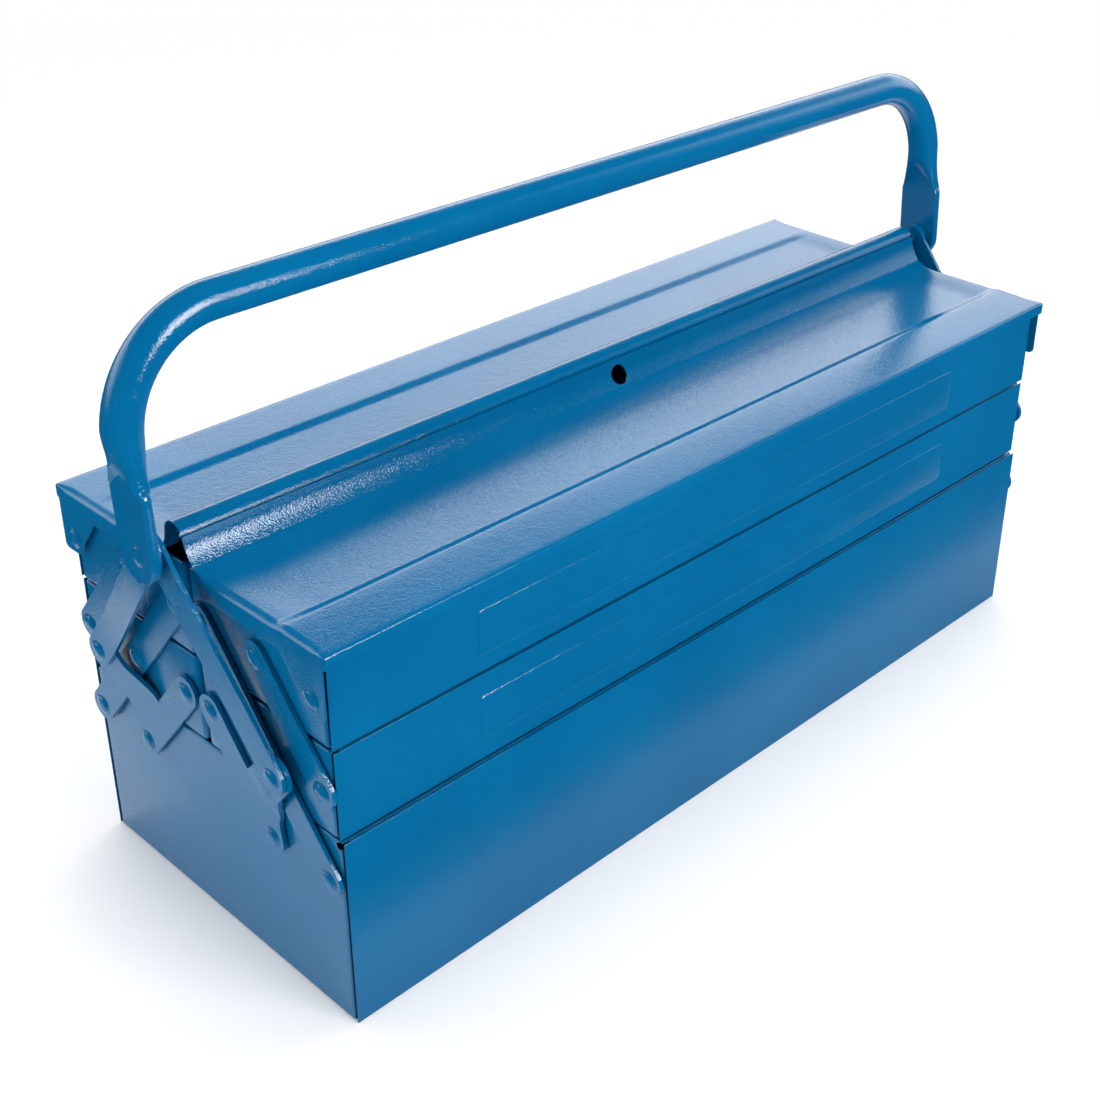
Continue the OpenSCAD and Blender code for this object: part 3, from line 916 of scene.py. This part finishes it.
def nose_drop(across):
    """How far the nose's step has dropped, as a share, at a place across the leg."""
    return min((across / NOSE_HALF) ** 2, NOSE_MOST)


def leg_rings(top):
    """Sections of a leg from the foot's tip to its top, as (out, across, up along the tube)."""
    rings = []
    for angle in (math.radians(a) for a in TIP_ANGLES):
        half = max(FOOT_HALF * math.cos(angle), LEAST_HALF)
        section = leg_section(half, FOOT_INNER, FOOT_FACE, 0)
        rings.append([(x, y, -FOOT_HALF * math.sin(angle)) for x, y in section])
    plate = leg_section(FOOT_HALF, FOOT_INNER, FOOT_FACE, 0)
    for up in PLATE_AT:
        rings.append([(x, y, up) for x, y in plate])
    neck = leg_section(FOOT_HALF - NECK_INSET, FOOT_INNER, FOOT_FACE, 0)
    rings.append([(x, y, NOSE_FOOT - NOSE_FOOT_DROP * nose_drop(y)) for x, y in neck])
    for k in range(SWAGE_STEPS + 1):
        t = k / SWAGE_STEPS
        up = NOSE_TOP + (TUBE_FROM - NOSE_TOP) * t
        half = mix(FOOT_HALF - SHOULDER_INSET, TUBE, (up - WIDTH_FROM) / WIDTH_OVER)
        inner = mix(FOOT_INNER, -TUBE, (up - BACK_FROM) / BACK_OVER)
        section = leg_section(half, inner, mix(NOSE, TUBE, t), min(NOSE_ROUNDNESS + t, 1))
        fade = NOSE_TOP_DROP * (1 - smooth(t))
        rings.append([(x, y, up - fade * nose_drop(y)) for x, y in section])
    circle = leg_section(TUBE, -TUBE, TUBE, 1)
    for k in range(1, BEND_STEPS + 1):
        up = TUBE_FROM + (top - TUBE_FROM) * k / BEND_STEPS
        rings.append([(x, y, up) for x, y in circle])
    return rings


def handle(node):
    """The tube handle: two legs with swaged feet, bent into one grip."""
    low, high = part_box(node)
    pivot = Vector(joints["handle_swing"]["pos_m"])
    leg = high.x - TUBE
    straight = (high.z - TUBE - pivot.z) / math.cos(LEAN) - BEND_RADIUS
    lean = Matrix.Translation(pivot) @ Matrix.Rotation(-LEAN, 4, "X")

    def place(out, across, up):
        turn = max(0, up - straight) / BEND_RADIUS
        reach = BEND_RADIUS + out
        x = leg - BEND_RADIUS + reach * math.cos(turn)
        return lean @ Vector((x, across, min(up, straight) + reach * math.sin(turn)))

    bend_end = straight + BEND_RADIUS * math.pi / 2
    rings = [[place(*point) for point in ring] for ring in leg_rings(bend_end)]
    mirrored = [[Vector((-p.x, p.y, p.z)) for p in ring] for ring in reversed(rings)]
    bm = bmesh.new()
    loft(bm, rings + mirrored)
    piece = put_solid(node + "_tube", bm, body_of[node], [node], "handle", sharp=HANDLE_SHARP)
    round_edges(piece, CREASE_WIDTH, CREASE_ANGLE)


# ---------- stage ----------

# The room, as directions: azimuth in degrees from +X towards +Y, and elevation
AZIMUTH_FROM = -90
WALL_AZIMUTH = (-38, -26, 135, 165)
WALL_ELEVATION = (0, 9, 26, 37)
WALL_LIGHT = 2.55
ROOM_LIGHT = 0.02

FLOOR_SIZE = 28
FLOOR_SHADE = 0.95
FLOOR_GLOW, FAR_GLOW = 0.16, 0.9
BACKDROP_RADIUS = 14
# The table's patches that the paint reflects: two corners and a shade each
TABLE = (((-0.395, -0.15), (0.7, -0.1), 0.5), ((-0.395, -0.1), (0.7, 0.31), 0.9))
TABLE_HEIGHT = 0.2 * MM

# Softboxes: azimuth, elevation, distance, side, power in watts, and the rays that don't see it
LAMPS = {
    "key": (-88, 34, 1.6, 0.9, 16, "visible_glossy"),
    "glint": (-82, 22, 1.6, 0.75, 28, "visible_diffuse"),
    "overhead": (60, 80, 1.8, 1.6, 20, "visible_glossy"),
    "left": (190, 25, 1.8, 1.2, 8, "visible_glossy"),
}
LAMPS_AIM_AT = Vector((0, 0, 0.12))


def span(tree, value, edges):
    """1 between the middle two edges, and 0 outside the outer two."""
    soft = {"interpolation_type": "SMOOTHSTEP"}
    rise = {"Value": value, "From Min": edges[0], "From Max": edges[1]}
    fall = {"Value": value, "From Min": edges[2], "From Max": edges[3], "To Min": 1, "To Max": 0}
    ramps = [tree.add("ShaderNodeMapRange", ends, **soft).outputs["Result"] for ends in (rise, fall)]
    return tree.math("MULTIPLY", *ramps)


def make_room():
    """A studio with a bright wall behind the box, and dark elsewhere."""
    world = bpy.data.worlds.new("studio")
    bpy.context.scene.world = world
    world.use_nodes = True
    tree = Tree(world.node_tree)
    way = tree.add("ShaderNodeTexCoord").outputs["Generated"]
    parts = tree.add("ShaderNodeSeparateXYZ", {"Vector": way}).outputs
    azimuth = tree.math("DEGREES", tree.math("ARCTAN2", parts["Y"], parts["X"]))
    azimuth = tree.math("MODULO", tree.math("ADD", azimuth, 360 - AZIMUTH_FROM), 360)
    azimuth = tree.math("ADD", azimuth, AZIMUTH_FROM)
    elevation = tree.math("DEGREES", tree.math("ARCSINE", parts["Z"]))
    wall = tree.math("MULTIPLY", span(tree, azimuth, WALL_AZIMUTH), span(tree, elevation, WALL_ELEVATION))
    light = tree.math("ADD", tree.math("MULTIPLY", wall, WALL_LIGHT), ROOM_LIGHT)
    background = world.node_tree.nodes["Background"]
    background.inputs["Color"].default_value = (1, 1, 1, 1)
    tree.set(background.inputs["Strength"], light)


def softbox(name, azimuth, elevation, distance, side, power, unseen_by):
    """A square lamp that faces the box from a direction in degrees."""
    data = bpy.data.lights.new(name, "AREA")
    data.shape = "RECTANGLE"
    data.size = data.size_y = side
    data.energy = power
    lamp = bpy.data.objects.new(name, data)
    a, e = math.radians(azimuth), math.radians(elevation)
    way = Vector((math.cos(e) * math.cos(a), math.cos(e) * math.sin(a), math.sin(e)))
    lamp.location = LAMPS_AIM_AT + way * distance
    lamp.rotation_euler = way.to_track_quat("Z", "Y").to_euler()
    setattr(lamp, unseen_by, False)
    bpy.context.collection.objects.link(lamp)


def stage_piece(name, material, unseen_by):
    """Names the object that was just added, as a part of the stage that some rays don't see."""
    piece = bpy.context.object
    piece.name = name
    piece.data.materials.append(material)
    for ray in unseen_by:
        setattr(piece, "visible_" + ray, False)
    return piece


def make_stage():
    """A pale floor that glows further out, a white backdrop, and the lamps."""
    bpy.ops.mesh.primitive_plane_add(size=FLOOR_SIZE, location=(0, 0, 0))
    stage_piece("floor", matt("floor", FLOOR_SHADE, FLOOR_GLOW, FAR_GLOW), ["glossy"])
    bpy.ops.mesh.primitive_uv_sphere_add(radius=BACKDROP_RADIUS, location=(0, 0, 0))
    stage_piece("backdrop", matt("backdrop", 0, glow=1), ["glossy", "diffuse", "shadow"])
    # The sheen of the paint sees only the table near the box, not the whole floor
    for (x0, y0), (x1, y1), shade in TABLE:
        middle = ((x0 + x1) / 2, (y0 + y1) / 2, TABLE_HEIGHT)
        bpy.ops.mesh.primitive_plane_add(size=1, location=middle)
        table = stage_piece("table_reflection", matt("table", shade), ["camera", "diffuse", "shadow"])
        table.scale = (x1 - x0, y1 - y0, 1)
    make_room()
    for name, lamp in LAMPS.items():
        softbox(name, *lamp)
    bpy.context.scene.view_settings.view_transform = "Standard"


make_camera()
make_stage()
paint = enamel("enamel")
# A near-black matt that stands for shade: painted shade in the seams and inside the corner reliefs' holes
painted_shade = matt("painted_shade_black", PAINTED_SHADE_LEVEL)
for node in nodes.values():
    node.data.materials.clear()
    node.data.materials.append(paint)
for name in nodes:
    if name.endswith("_tray"):
        tray(name)
    elif name.endswith("_lid"):
        lid(name)
    elif name == "handle":
        handle(name)
    elif name.endswith("_rivets"):
        rivets(name)
    elif "_bar_" in name:
        link(name)
    elif "_crank_" in name:
        crank(name)
    else:
        arm(name)
